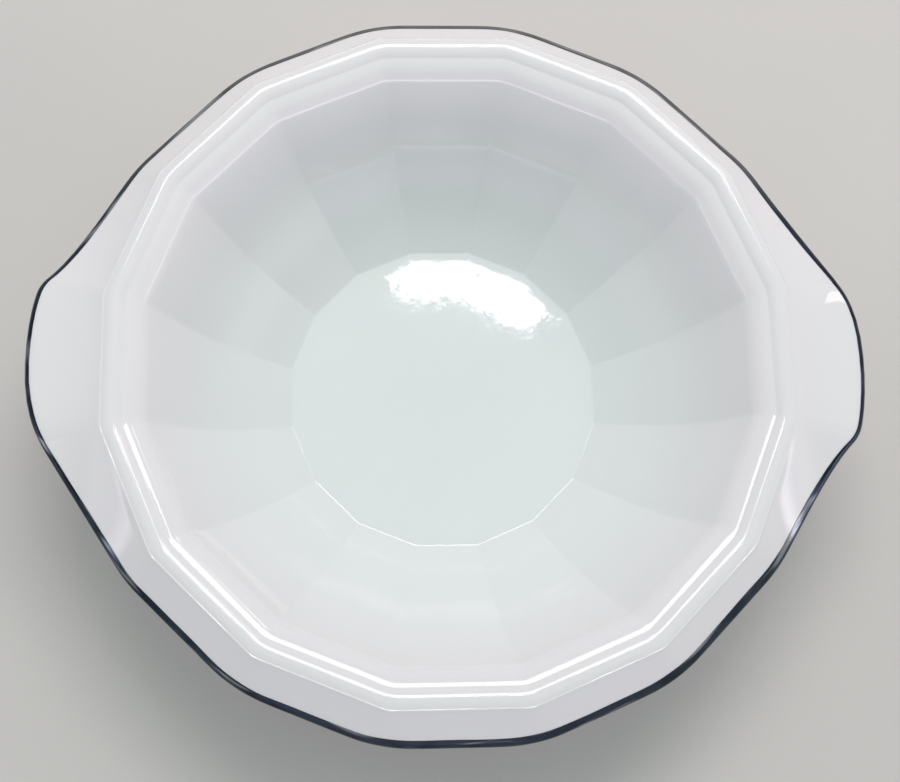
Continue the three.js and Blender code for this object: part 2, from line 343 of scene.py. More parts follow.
def bowed(start, end, bow, steps):
    """Points of a panelled line that bows to the right of its way, without its first point."""
    chord = end - start
    right = Vector((chord.y, -chord.x, 0, 0)).normalized()
    line = quadratic(start, (start + end) / 2 + right * (2 * bow), end, steps)
    return [panelled(point.x, point.y, point.w) for point in line]


def softened(points):
    """A section with each corner that has an ease drawn as a small curve."""
    line = []
    for index, (point, ease) in enumerate(points):
        if ease == 0:
            line.append(point)
            continue
        ends = []
        for neighbour in (points[index - 1][0], points[index + 1][0]):
            way = neighbour - point
            ends.append(point + way * (ease / way.xy.length))
        line.append(ends[0])
        line += quadratic(ends[0], point, ends[1], SOFT_STEPS)
    return line


def moved_in(section, distance):
    """A section moved a short way into the body."""
    moved = []
    for index, point in enumerate(section):
        along = section[min(index + 1, len(section) - 1)] - section[max(index - 1, 0)]
        into = Vector((along.y, -along.x, 0)).normalized() * distance
        radius = max(point.x + into.x, LEAST_RADIUS)
        moved.append(Vector((radius, point.y + into.y, point.z * radius / point.x, point.w)))
    return moved


def facet_radius(flat, turn):
    """Axis to a sixteen-sided ring, along one direction."""
    along = ((turn + LUG_CORNER) / SIDE_ANGLE) % 1.0
    return flat / math.cos((along - 0.5) * SIDE_ANGLE)


def column_turns():
    """Directions of the surface's columns, close together at each corner."""
    turns = []
    for side in range(SIDES):
        corner = side * SIDE_ANGLE - LUG_CORNER
        turns += [corner - math.radians(offset) for offset in reversed(CORNER_OFFSETS[1:])]
        turns += [corner + math.radians(offset) for offset in CORNER_OFFSETS]
        turns.append(corner + SIDE_ANGLE / 2)
    return turns


def half_rim_outline(shape):
    """The rim's tip from above: one lug, then the plain sides up to the other lug."""
    corner_radius = shape.rim_radius / math.cos(SIDE_ANGLE / 2)
    soft_turn = shape.rim_corner * math.tan(SIDE_ANGLE / 2)
    soft_flank = soft_turn / 2
    start = polar(corner_radius, -LUG_CORNER)
    side_turn = math.pi / 2 - LUG_CORNER - SIDE_ANGLE / 2
    flare = polar(1, side_turn + shape.flare_turn)
    sharp = Vector((shape.lug_edge - shape.sharp_corner_setback, -shape.sharp_corner_reach))
    edge_middle = Vector((shape.lug_edge, 0))
    edge_handle = Vector((shape.lug_edge, sharp.y / 2))
    flare_end = sharp + polar(shape.sharp_corner_ease, shape.flare_end)
    edge_start = sharp + (edge_handle - sharp).normalized() * shape.sharp_corner_ease
    soft = Vector((shape.lug_edge - shape.soft_corner_setback, shape.soft_corner_reach))
    soft_handle = Vector((shape.lug_edge, shape.soft_corner_reach * SOFT_HANDLE_SHARE))

    points = [start - polar(soft_flank, side_turn)]
    points += quadratic(points[-1], start, start + flare * soft_flank, SOFT_STEPS)
    first = start + flare * shape.flare_start_pull
    second = sharp + polar(shape.flare_end_pull, shape.flare_end)
    points += cubic(points[-1], first, second, flare_end, OUTLINE_STEPS)
    points += quadratic(points[-1], sharp, edge_start, SOFT_STEPS)
    points += quadratic(points[-1], edge_handle, edge_middle, OUTLINE_STEPS)
    points += quadratic(points[-1], soft_handle, soft, OUTLINE_STEPS)
    for side in range(PLAIN_SIDES):
        turn = LUG_CORNER + side * SIDE_ANGLE
        corner = polar(corner_radius, turn)
        ease = soft_turn if side else soft_flank
        before = corner + (points[-1] - corner).normalized() * ease
        after = corner + polar(ease, turn + math.pi / 2 + SIDE_ANGLE / 2)
        points.append(before)
        points += quadratic(before, corner, after, OUTLINE_STEPS // 2)
    points.append(-points[0])
    return points


def rim_tip(outline, turn):
    """Axis to the rim's tip along one direction, and how squarely that direction meets it."""
    start = math.atan2(outline[0].y, outline[0].x)
    ray = polar(1, (turn - start) % math.pi + start)
    for first, second in zip(outline, outline[1:]):
        if second.x * ray.y - second.y * ray.x <= 0:
            break
    along = second - first
    facing = ray.x * along.y - ray.y * along.x
    reach = (first.x * ray.y - first.y * ray.x) / facing
    return (first + along * reach).dot(ray), facing / along.length


def smoothstep(value):
    """An eased ramp from 0 to 1."""
    value = min(max(value, 0.0), 1.0)
    return value * value * (3 - 2 * value)


def line_waver(turn):
    """How far the hand-drawn edge of the metal line strays, from -1 to 1."""
    return sum(part * math.sin(count * turn + phase) for part, count, phase in LINE_WAVES)


def section_corners(shape):
    """Edge of the floor, top of the wall, first edge, crest and verge of a section."""
    floor_edge = panelled(shape.floor_radius, shape.floor_height + shape.floor_dish)
    shoulder_top = shape.crest_height - shape.inner_bevel_rise
    wall_top = panelled(
        shape.floor_radius + shape.wall_run, shoulder_top - shape.shoulder_rise, WALL_TOP_CORNER
    )
    first_edge = panelled(wall_top.x + shape.shoulder_run, shoulder_top, FIRST_EDGE_CORNER)
    crest = panelled(first_edge.x + shape.inner_bevel_run, shape.crest_height, CREST_CORNER)
    verge = panelled(crest.x + shape.outer_bevel_run, crest.y - shape.outer_bevel_fall, COLLAR_CORNER)
    return floor_edge, wall_top, first_edge, crest, verge


def inside_line(shape, corners):
    """Floor, wall, shoulder and verge: points of a section, each with its ease."""
    floor_edge, wall_top, first_edge, crest, verge = corners
    line = []
    for step in range(1, FLOOR_STEPS):
        reach = 1 - (1 - step / FLOOR_STEPS) ** FLOOR_SPACING
        height = shape.floor_height + shape.floor_dish * reach ** DISH_POWER
        line.append((panelled(reach * floor_edge.x, height), 0))
    line.append((floor_edge, FLOOR_EASE))
    line += [(point, 0) for point in bowed(floor_edge, wall_top, shape.wall_bow, WALL_STEPS)[:-1]]
    line.append((wall_top, WALL_TOP_EASE))
    shoulder = bowed(wall_top, first_edge, -shape.shoulder_bow, BEND_STEPS)[:-1]
    line += [(point, 0) for point in shoulder if (point - wall_top).xy.length > WALL_TOP_EASE]
    line.append((first_edge, FIRST_EDGE_EASE))
    line.append((panelled(crest.x, crest.y + CREST_LIFT, CREST_CORNER), CREST_EASE))
    line.append((verge.lerp(crest, RIDGE_RUN / shape.outer_bevel_run), RIDGE_EASE))
    line.append((panelled(verge.x, verge.y + RIDGE_RISE, COLLAR_CORNER), RIDGE_EASE))
    return line


def outside_line(shape, corners, start):
    """Underside of the collar, crook, outer wall and side of the foot: points, each with its ease."""
    floor_edge, wall_top, _, crest, _ = corners
    chord = (wall_top - floor_edge).xy.normalized() * shape.wall_thickness
    outer_top = panelled(wall_top.x + chord.y, wall_top.y - chord.x, WALL_TOP_CORNER)
    outer_foot = panelled(floor_edge.x + chord.y, floor_edge.y - chord.x)
    crook = panelled(crest.x, crest.y - shape.verge_thickness, COLLAR_CORNER)
    foot = panelled(shape.floor_radius + shape.foot_spread + shape.glaze_thickness, shape.glaze_line)
    line = [(start.lerp(crook, step / COLLAR_STEPS), 0) for step in range(COLLAR_STEPS)]
    line.append((crook, CROOK_EASE))
    line += [(point, 0) for point in bowed(crook, outer_top, shape.crook_bow, BEND_STEPS)]
    line += [(point, 0) for point in bowed(outer_top, outer_foot, -shape.wall_bow, WALL_STEPS)[:-1]]
    line.append((outer_foot, FOOT_EASE))
    line.append((outer_foot.lerp(foot, 0.5), 0))
    line.append((foot, 0))
    return line


def skin_section(shape, outline, turn):
    """The glazed surface along one direction.

    Each point holds its distance from the axis, its height, how much of that distance has panels, and how
    soft their corners are. The section comes in three stretches: floor to collar, the edge that carries the
    metal line, and the outside.
    """
    corners = section_corners(shape)
    verge = corners[-1]

    # Collar, which sags and lifts towards a lug
    inner = facet_radius(verge.x, turn)
    tip, squareness = rim_tip(outline, turn)
    lug = smoothstep((tip - facet_radius(shape.rim_radius, turn)) / (shape.lug_edge - shape.rim_radius))
    fall = shape.collar_fall + (shape.lug_fall - shape.collar_fall) * lug
    sag = shape.lug_sag * lug
    slope = math.atan2(fall * (1 - sag), tip - inner)
    edge_radius = shape.edge_thickness / 2
    outer = tip - edge_radius * (1 - math.sin(slope))
    collar = outer - inner
    facing = math.pi / 2 - slope

    def collar_point(past):
        """A point of the collar, or of the rolled edge where it is past the end of the collar."""
        reach = min(1 + past / collar, 1)
        height = verge.y - fall * (reach + sag * reach * (1 - reach))
        point = Vector((verge.x * (1 - reach) + outer * reach, height, verge.x * (1 - reach), COLLAR_CORNER))
        if past <= 0:
            return point
        return point - sideways(edge_radius, facing) + sideways(edge_radius, facing - past / edge_radius)

    drawn = 1 - shape.band_thinning * math.cos(turn - THIN_TURN)
    width = shape.band_width * drawn * math.sin(slope) / STEEP + shape.band_waver * (1 + line_waver(turn))
    start = (shape.band_setback * lug - width) / squareness
    upper = inside_line(shape, corners)
    for step in range(1, COLLAR_STEPS + 1):
        upper.append((collar_point((collar + start) * step / COLLAR_STEPS - collar), 0))

    # Rolled edge, from the start of the metal line
    lead = max(-start, BAND_LEAD)
    roll = math.pi * edge_radius - start - lead
    edge = [collar_point(start + lead * step / BAND_STEPS) for step in range(BAND_STEPS)]
    edge += [collar_point(start + lead + roll * step / EDGE_STEPS) for step in range(EDGE_STEPS + 1)]
    return softened(upper)[:-1], edge, softened(outside_line(shape, corners, edge[-1]))[1:]


def skin_sections(shape):
    """The glazed surface along every direction."""
    outline = half_rim_outline(shape)
    return [skin_section(shape, outline, turn) for turn in column_turns()]


def plain_surface(name, sections, first_pole=None, last_pole=None):
    """A round surface over a section for each direction, before it has panels, with its poles closed."""
    turns = column_turns()
    rows, columns = len(sections[0]), len(sections)
    points = []
    panels = []
    corners = []
    for turn, section in zip(turns, sections):
        for point in section:
            points.append((point.x * math.cos(turn), point.x * math.sin(turn), point.y))
            panels.append(point.z)
            corners.append(point.w)
    faces = []
    for column in range(columns):
        now = column * rows
        following = (column + 1) % columns * rows
        for row in range(rows - 1):
            faces.append((now + row, now + row + 1, following + row + 1, following + row))
    for height, row in ((first_pole, 0), (last_pole, rows - 1)):
        if height is None:
            continue
        pole = len(points)
        points.append((0, 0, height))
        panels.append(0)
        corners.append(CRISP_CORNER)
        for column in range(columns):
            now = column * rows + row
            following = (column + 1) % columns * rows + row
            faces.append((pole, now, following) if row == 0 else (now, pole, following))
    mesh = bpy.data.meshes.new(name)
    mesh.from_pydata(points, [], faces)
    for label, values in ((PANEL_ATTRIBUTE, panels), (SOFTNESS_ATTRIBUTE, corners)):
        mesh.attributes.new(label, "FLOAT", "POINT").data.foreach_set("value", values)
    mesh.shade_smooth()
    return mesh


def show(data, name):
    """An object at the origin for a mesh, a light or a camera."""
    piece = bpy.data.objects.new(name, data)
    bpy.context.scene.collection.objects.link(piece)
    return piece


def set_sockets(tree, node, values):
    """Links or sets a node's inputs."""
    for socket, value in dict(values).items():
        if isinstance(value, bpy.types.NodeSocket):
            tree.links.new(value, node.inputs[socket])
        else:
            node.inputs[socket].default_value = value


def add_node(tree, kind, values=(), **settings):
    """A node with its settings, and with its inputs linked or set."""
    node = tree.nodes.new(kind)
    for label, value in settings.items():
        setattr(node, label, value)
    set_sockets(tree, node, values)
    return node


def add_math(tree, operation, *values):
    """A sum on numbers, or on sockets that hold numbers."""
    return add_node(tree, "ShaderNodeMath", enumerate(values), operation=operation).outputs[0]


def new_group(name, kind, inputs, outputs):
    """A node group with its sockets, what it is given inside and where its results go."""
    group = bpy.data.node_groups.new(name, kind)
    for way, sockets in (("INPUT", inputs), ("OUTPUT", outputs)):
        for label, socket_kind in sockets.items():
            group.interface.new_socket(label, in_out=way, socket_type="NodeSocket" + socket_kind)
    given = group.nodes.new("NodeGroupInput").outputs
    result = group.nodes.new("NodeGroupOutput").inputs
    return group, given, result


def shared(name):
    """Lets a function make its node group once, and finds that group by its name after that."""
    def decorate(make):
        @functools.wraps(make)
        def find_or_make():
            return bpy.data.node_groups.get(name) or make(name)
        return find_or_make
    return decorate


@shared("Sixteen Panels")
def panel_tree(name):
    """Geometry nodes that push a round surface out to flat panels with soft corners."""
    inputs = {"Surface": "Geometry", "Sides": "Int", "First Corner": "Float"}
    tree, given, result = new_group(name, "GeometryNodeTree", inputs, {"Piece": "Geometry"})
    total = functools.partial(add_math, tree)
    place = add_node(tree, "GeometryNodeInputPosition").outputs["Position"]
    parts = add_node(tree, "ShaderNodeSeparateXYZ", {"Vector": place}).outputs
    side = total("DIVIDE", math.tau, given["Sides"])
    turn = total("ADD", total("ARCTAN2", parts["Y"], parts["X"]), given["First Corner"])
    along = total("WRAP", turn, side, 0.0)
    from_middle = total("ABSOLUTE", total("SUBTRACT", along, total("MULTIPLY", side, 0.5)))
    own_panel = total("DIVIDE", 1.0, total("COSINE", from_middle))
    next_panel = total("DIVIDE", 1.0, total("COSINE", total("SUBTRACT", side, from_middle)))
    panels, softness = (
        add_node(
            tree, "GeometryNodeInputNamedAttribute", {"Name": label}, data_type="FLOAT"
        ).outputs["Attribute"]
        for label in (PANEL_ATTRIBUTE, SOFTNESS_ATTRIBUTE)
    )
    nearer = total("SMOOTH_MIN", own_panel, next_panel, softness)
    push = total("MULTIPLY", total("SUBTRACT", nearer, 1.0), panels)
    flat = add_node(tree, "ShaderNodeCombineXYZ", {"X": parts["X"], "Y": parts["Y"]}).outputs["Vector"]
    outward = add_node(tree, "ShaderNodeVectorMath", {0: flat}, operation="NORMALIZE").outputs["Vector"]
    offset = add_node(
        tree, "ShaderNodeVectorMath", {0: outward, "Scale": push}, operation="SCALE"
    ).outputs["Vector"]
    moved = add_node(tree, "GeometryNodeSetPosition", {"Geometry": given["Surface"], "Offset": offset})
    clean = moved.outputs["Geometry"]
    for label in (PANEL_ATTRIBUTE, SOFTNESS_ATTRIBUTE):
        removal = add_node(tree, "GeometryNodeRemoveAttribute", {"Geometry": clean, "Name": label})
        clean = removal.outputs["Geometry"]
    tree.links.new(clean, result["Piece"])
    return tree


def add_panels(tree, surface):
    """A surface pushed out to the bowl's panels."""
    values = {"Surface": surface, "Sides": SIDES, "First Corner": LUG_CORNER}
    return add_node(tree, "GeometryNodeGroup", values, node_tree=panel_tree()).outputs["Piece"]


def end_tree(tree, given, result, geometry):
    """Makes a piece real and gives it its material, as the last steps of its tree."""
    real = add_node(tree, "GeometryNodeRealizeInstances", {"Geometry": geometry}).outputs["Geometry"]
    painted = add_node(tree, "GeometryNodeSetMaterial", {"Geometry": real, "Material": given["Finish"]})
    tree.links.new(painted.outputs["Geometry"], result["Piece"])


@shared("Panelled Casting")
def casting_tree(name):
    """Geometry nodes for the casting: its round surface with panels."""
    inputs = {"Surface": "Geometry", "Finish": "Material"}
    tree, given, result = new_group(name, "GeometryNodeTree", inputs, {"Piece": "Geometry"})
    end_tree(tree, given, result, add_panels(tree, given["Surface"]))
    return tree


@shared("Panelled Coat")
def coat_tree(name):
    """Geometry nodes for a coat: a round surface with panels, thickened to a closed skin of an even depth."""
    inputs = {"Surface": "Geometry", "Depth": "Float", "Into Surface": "Bool", "Finish": "Material"}
    tree, given, result = new_group(name, "GeometryNodeTree", inputs, {"Piece": "Geometry"})

    def choose(kind, outward, into):
        """What a coat has where it grows out of its surface, or where it grows into it."""
        values = {"Switch": given["Into Surface"], "False": outward, "True": into}
        return add_node(tree, "GeometryNodeSwitch", values, input_type=kind).outputs["Output"]

    face = add_panels(tree, given["Surface"])
    depth = choose("FLOAT", given["Depth"], add_math(tree, "MULTIPLY", given["Depth"], -1.0))
    values = {"Mesh": face, "Offset Scale": depth, "Individual": False}
    grown = add_node(tree, "GeometryNodeExtrudeMesh", values, mode="FACES").outputs["Mesh"]
    turned_face, turned_grown = (
        add_node(tree, "GeometryNodeFlipFaces", {"Mesh": mesh}).outputs["Mesh"] for mesh in (face, grown)
    )
    join = add_node(tree, "GeometryNodeJoinGeometry")
    for outward, into in ((turned_face, face), (grown, turned_grown)):
        tree.links.new(choose("GEOMETRY", outward, into), join.inputs["Geometry"])
    values = {"Geometry": join.outputs["Geometry"], "Distance": MERGE_DISTANCE}
    merged = add_node(tree, "GeometryNodeMergeByDistance", values)
    end_tree(tree, given, result, merged.outputs["Geometry"])
    return tree


def made(name, surface, tree, **values):
    """A piece that a node tree makes from a surface, as a plain mesh object."""
    source = show(surface, name + "_surface")
    modifier = source.modifiers.new(tree.name, "NODES")
    modifier.node_group = tree
    for item in tree.interface.items_tree:
        key = item.name.lower().replace(" ", "_")
        if item.in_out == "INPUT" and key in values:
            modifier[item.identifier] = values[key]
    graph = bpy.context.evaluated_depsgraph_get()
    mesh = bpy.data.meshes.new_from_object(source.evaluated_get(graph))
    bpy.data.objects.remove(source)
    bpy.data.meshes.remove(surface)
    mesh.name = name
    mesh.set_sharp_from_angle(angle=SHARP_ANGLE)
    return show(mesh, name)


def settle(piece, node):
    """The piece stands for a CAD node, which is hidden, and rides on the bowl."""
    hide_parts(node)
    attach(piece, "root")


def object_place(tree):
    """Where a point is on its object."""
    return add_node(tree, "ShaderNodeTexCoord").outputs["Object"]


def eased_range(tree, value, start, end, low, high, interpolation="SMOOTHSTEP"):
    """A value that goes from low to high between a start and an end, with soft ends."""
    values = {"Value": value, "From Min": start, "From Max": end, "To Min": low, "To Max": high}
    return add_node(tree, "ShaderNodeMapRange", values, interpolation_type=interpolation).outputs["Result"]


def spread(tree, mask, low, high):
    """A mask spread evenly over a range."""
    return eased_range(tree, mask, 0.0, 1.0, low, high, "LINEAR")


@shared("Kiln Mottle")
def kiln_mottle_group(name):
    """Uneven tone and thickness that firing leaves, as a mask and a height."""
    inputs = dict.fromkeys(("Cloud Scale", "Grain Scale", "Grain Share"), "Float")
    group, given, result = new_group(name, "ShaderNodeTree", inputs, {"Mask": "Float", "Height": "Float"})
    place = object_place(group)
    values = {
        "Vector": place, "Scale": given["Cloud Scale"], "Detail": CLOUD_DETAIL, "Roughness": CLOUD_ROUGHNESS,
    }
    cloud = add_node(group, "ShaderNodeTexNoise", values).outputs["Fac"]
    values = {"Vector": place, "Scale": given["Grain Scale"], "Detail": GRAIN_DETAIL}
    grain = add_node(group, "ShaderNodeTexNoise", values).outputs["Fac"]
    height = add_node(group, "ShaderNodeMix", {"Factor": given["Grain Share"], "A": cloud, "B": grain})
    group.links.new(eased_range(group, cloud, *CLOUD_RANGE, 0.0, 1.0), result["Mask"])
    group.links.new(height.outputs["Result"], result["Height"])
    return group


@shared("Iron Specks")
def speck_group(name):
    """Scattered specks, each a small round spot, as a mask."""
    inputs = dict.fromkeys(("Spacing Scale", "Spot Size", "Share"), "Float")
    group, given, result = new_group(name, "ShaderNodeTree", inputs, {"Mask": "Float"})
    values = {"Vector": object_place(group), "Scale": given["Spacing Scale"]}
    cells = add_node(group, "ShaderNodeTexVoronoi", values).outputs
    parts = add_node(group, "ShaderNodeSeparateColor", {"Color": cells["Color"]}).outputs
    spot = add_math(group, "LESS_THAN", cells["Distance"], given["Spot Size"])
    chosen = add_math(group, "LESS_THAN", parts["Red"], given["Share"])
    group.links.new(add_math(group, "MULTIPLY", spot, chosen), result["Mask"])
    return group


def bare_material(name):
    """A new material, its node tree and its shader."""
    material = bpy.data.materials.new(name)
    material.use_nodes = True
    tree = material.node_tree
    return material, tree, tree.nodes["Principled BSDF"]


def place_group(tree, group, **values):
    """What a node group gives in a material, with its own values."""
    titled = {label.replace("_", " ").title(): value for label, value in values.items()}
    return add_node(tree, "ShaderNodeGroup", titled, node_tree=group).outputs


def mixed_colour(tree, mask, plain, marked):
    """A colour that a mask turns into another."""
    plain, marked = (
        tone if isinstance(tone, bpy.types.NodeSocket) else (*tone, 1.0) for tone in (plain, marked)
    )
    values = {"Factor": mask, MIX_PLAIN: plain, MIX_MARKED: marked}
    return add_node(tree, "ShaderNodeMix", values, data_type="RGBA").outputs[MIX_RESULT]


def relief(tree, height, strength, depth):
    """A normal with fine relief."""
    values = {"Height": height, "Strength": strength, "Distance": depth}
    return add_node(tree, "ShaderNodeBump", values).outputs["Normal"]


def depth_mask(tree, deep, shallow):
    """A mask that is 1 below one height above the table and 0 above another."""
    parts = add_node(tree, "ShaderNodeSeparateXYZ", {"Vector": object_place(tree)}).outputs
    return eased_range(tree, parts["Z"], deep, shallow, 1.0, 0.0)


def glint_streak_mask(tree):
    """Long streaks that run round the bowl, as a mask for painted glints on the metal line."""
    values = {"Vector": object_place(tree), "Scale": STREAK_SCALE}
    stretched = add_node(tree, "ShaderNodeMapping", values).outputs["Vector"]
    values = {"Vector": stretched, "Scale": 1.0, "Detail": STREAK_DETAIL}
    noise = add_node(tree, "ShaderNodeTexNoise", values).outputs["Fac"]
    return eased_range(tree, noise, *STREAK_RANGE, 0.0, 1.0)


def white_glaze(finish):
    """Clear gloss over a white body, with faint clouds, a soft waver, a few iron specks and painted light: a
    cooler, lighter white low in the well.
    """
    material, tree, shader = bare_material("white glaze")
    mottle = place_group(tree, kiln_mottle_group(), cloud_scale=55.0, grain_scale=350.0, grain_share=0.25)
    specks = place_group(tree, speck_group(), spacing_scale=85.0, spot_size=0.018, share=0.22)
    # Painted light: the glaze turns a cooler, lighter white low in the well, in place of the light there
    painted_well_light = depth_mask(tree, WELL_DEPTH, WELL_TOP)
    well_light_mask = add_math(tree, "MULTIPLY", painted_well_light, spread(tree, mottle["Mask"], *WELL_LIGHT_SHARES))
    tone = mixed_colour(tree, well_light_mask, finish.glaze_colour, finish.well_light_tint)
    set_sockets(tree, shader, {
        "Base Color": mixed_colour(tree, specks["Mask"], tone, finish.speck_colour),
        "Roughness": spread(tree, mottle["Mask"], finish.gloss, finish.gloss * GLOSS_SPREAD),
        "IOR": GLAZE_IOR,
        "Normal": relief(tree, mottle["Height"], strength=0.12, depth=0.0004),
    })
    return material


def bare_biscuit(finish):
    """Unglazed porcelain: dry, grainy, and rubbed a little dirty where it stands."""
    material, tree, shader = bare_material("bare biscuit")
    mottle = place_group(tree, kiln_mottle_group(), cloud_scale=160.0, grain_scale=2600.0, grain_share=0.6)
    specks = place_group(tree, speck_group(), spacing_scale=420.0, spot_size=0.12, share=0.3)
    tone = mixed_colour(tree, mottle["Mask"], finish.biscuit_colour, finish.biscuit_stain)
    set_sockets(tree, shader, {
        "Base Color": mixed_colour(tree, specks["Mask"], tone, finish.speck_colour),
        "Roughness": spread(tree, mottle["Height"], *BISCUIT_ROUGHNESS),
        "Normal": relief(tree, mottle["Height"], strength=0.5, depth=0.0003),
    })
    return material


def fired_metal(finish):
    """Bright metal brushed on by hand and fired, a little uneven in depth and gloss, with painted reflection:
    dark colours that stand in for a dark room, and painted glints along streaks.
    """
    material, tree, shader = bare_material("fired metal")
    mottle = place_group(tree, kiln_mottle_group(), cloud_scale=130.0, grain_scale=1800.0, grain_share=0.35)
    # Painted reflection: dark colours for the room that the metal reflects, darker on random patches
    tone = mixed_colour(tree, mottle["Mask"], finish.metal_dark_reflection, finish.metal_darker_reflection)
    set_sockets(tree, shader, {
        # Painted glints: brighter streaks along the line
        "Base Color": mixed_colour(tree, glint_streak_mask(tree), tone, finish.metal_glint_streak),
        "Roughness": spread(tree, mottle["Mask"], *METAL_ROUGHNESS),
        "Metallic": 1.0,
        "Normal": relief(tree, mottle["Height"], strength=0.15, depth=0.0002),
    })
    return material


def pale_floor(stage):
    """A plain matt floor with a trace of unevenness."""
    material, tree, shader = bare_material("pale floor")
    mottle = place_group(tree, kiln_mottle_group(), cloud_scale=6.0, grain_scale=300.0, grain_share=0.3)
    shade = [part * FLOOR_SHADE for part in stage.floor_colour]
    tone = mixed_colour(tree, mottle["Mask"], stage.floor_colour, shade)
    set_sockets(tree, shader, {"Base Color": tone, "Roughness": FLOOR_ROUGHNESS})
    return material


class BOWL_OT_casting(bpy.types.Operator):
    """Make the fired casting, whose foot shows bare"""

    bl_idname = "bowl.casting"
    bl_label = "Casting"

    def execute(self, context):
        scene = context.scene
        shape = scene.bowl_shape
        foot = shape.floor_radius + shape.foot_spread
        inner_foot = foot - shape.foot_width
        base_top = shape.base_height + shape.glaze_thickness
        foot_line = [
            panelled(foot, shape.glaze_line / 2),
            panelled(foot, FOOT_WEAR),
            panelled(foot - FOOT_BEVEL, FOOT_BEVEL),
            panelled(foot - FOOT_WEAR, 0),
            panelled(foot - shape.foot_width / 2, 0),
            panelled(inner_foot + FOOT_WEAR, 0),
            panelled(inner_foot + FOOT_BEVEL, FOOT_BEVEL),
            panelled(inner_foot, FOOT_WEAR),
            panelled(shape.base_radius + FOOT_WEAR, shape.base_height - FOOT_WEAR),
            panelled(shape.base_radius, base_top),
        ]
        sections = []
        for upper, edge, lower in skin_sections(shape):
            sections.append(moved_in(upper + edge + lower, shape.glaze_thickness) + foot_line)
        surface = plain_surface("casting", sections, shape.floor_height - shape.glaze_thickness, base_top)
        piece = made("casting", surface, casting_tree(), finish=bare_biscuit(scene.bowl_finish))
        settle(piece, "porcelain_body")
        return {"FINISHED"}


class BOWL_OT_glaze_coats(bpy.types.Operator):
    """Make the glaze inside, outside and under the floor"""

    bl_idname = "bowl.glaze_coats"
    bl_label = "Glaze Coats"

    def execute(self, context):
        scene = context.scene
        shape = scene.bowl_shape
        sections = skin_sections(shape)
        inside = [upper + edge[:EDGE_TIP + 1] for upper, edge, _ in sections]
        outside = [edge[EDGE_TIP:] + lower for _, edge, lower in sections]
        base_line = []
        for step in range(FLOOR_STEPS):
            base_line.append(panelled(shape.base_radius * (1 - step / FLOOR_STEPS), shape.base_height))
        base = [base_line] * len(sections)
        finish = white_glaze(scene.bowl_finish)
        for name, node, surface in (
            ("poured_glaze", "inside_glaze", plain_surface("inside", inside, shape.floor_height)),
            ("dipped_glaze", "outside_glaze", plain_surface("outside", outside)),
            ("underfloor_glaze", "base_glaze", plain_surface("base", base, None, shape.base_height)),
        ):
            piece = made(
                name, surface, coat_tree(), depth=shape.glaze_thickness, into_surface=True, finish=finish
            )
            settle(piece, node)
        return {"FINISHED"}


class BOWL_OT_metal_line(bpy.types.Operator):
    """Make the fired metal line round the rim"""

    bl_idname = "bowl.metal_line"
    bl_label = "Metal Line"

    def execute(self, context):
        scene = context.scene
        shape = scene.bowl_shape
        strip = plain_surface("strip", [edge[:BAND_END + 1] for _, edge, _ in skin_sections(shape)])
        finish = fired_metal(scene.bowl_finish)
        piece = made(
            "metal_line", strip, coat_tree(), depth=shape.band_thickness, into_surface=False, finish=finish
        )
        settle(piece, "platinum_band")
        return {"FINISHED"}


def softbox(name, radiance, size, place, degrees, tone):
    """A flat light overhead that faces straight down."""
    data = bpy.data.lights.new(name, "AREA")
    data.shape = "RECTANGLE"
    data.size, data.size_y = (part * LIGHT_HEIGHT for part in size)
    data.energy = radiance * math.pi * data.size * data.size_y
    data.color = tone
    light = show(data, name)
    light.location = (place[0] * LIGHT_HEIGHT, place[1] * LIGHT_HEIGHT, LIGHT_HEIGHT)
    light.rotation_euler = (0, 0, math.radians(degrees))


def room_light(stage):
    """Soft light from all round: dimmer towards the camera, with a paler ceiling and a bright low band."""
    world = bpy.data.worlds.new("room")
    bpy.context.scene.world = world
    world.use_nodes = True
    tree = world.node_tree
    light = tree.nodes["Background"]
    direction = add_node(tree, "ShaderNodeTexCoord").outputs["Generated"]
    parts = add_node(tree, "ShaderNodeSeparateXYZ", {"Vector": direction}).outputs
    total = functools.partial(add_math, tree)

    def ramp(axis, stretch, low, high):
        """Strength that goes from low to high over a stretch of one axis."""
        return eased_range(tree, parts[axis], *stretch, low, high)

    walls = ramp("Y", WALLS_Y, stage.wall_front, stage.wall_back)
    ceiling = ramp("Z", CEILING_Z, 0.0, stage.ceiling)
    left = ramp("X", BAND_LEFT_X, BAND_SIDES[0], 1.0)
    right = ramp("X", BAND_RIGHT_X, 1.0, BAND_SIDES[1])
    band = total("MULTIPLY", ramp("Z", BAND_Z, stage.low_band, 0.0), total("MULTIPLY", left, right))
    low = total("ADD", band, ramp("Z", LOW_Z, stage.low_front, 0.0))
    low = total("MULTIPLY", low, ramp("Z", HORIZON_Z, 0.0, 1.0))
    low = total("MULTIPLY", low, ramp("X", LOW_X, *LOW_SIDES))
    front = total("MULTIPLY", low, ramp("Y", FRONT_Y, 1.0, 0.0))
    strength = total("ADD", total("ADD", walls, ceiling), front)
    tint = mixed_colour(tree, ramp("Z", TINT_Z, 0.0, 1.0), stage.low_colour, stage.high_colour)
    set_sockets(tree, light, {"Strength": strength, "Color": tint})

    # The camera sees a plain backdrop in place of the uneven light
    backdrop = add_node(tree, "ShaderNodeBackground", {"Color": (*stage.backdrop_colour, 1.0)})
    seen = add_node(tree, "ShaderNodeMixShader", {
        "Fac": add_node(tree, "ShaderNodeLightPath").outputs["Is Camera Ray"],
        1: light.outputs["Background"],
        2: backdrop.outputs["Background"],
    })
    set_sockets(tree, tree.nodes["World Output"], {"Surface": seen.outputs["Shader"]})


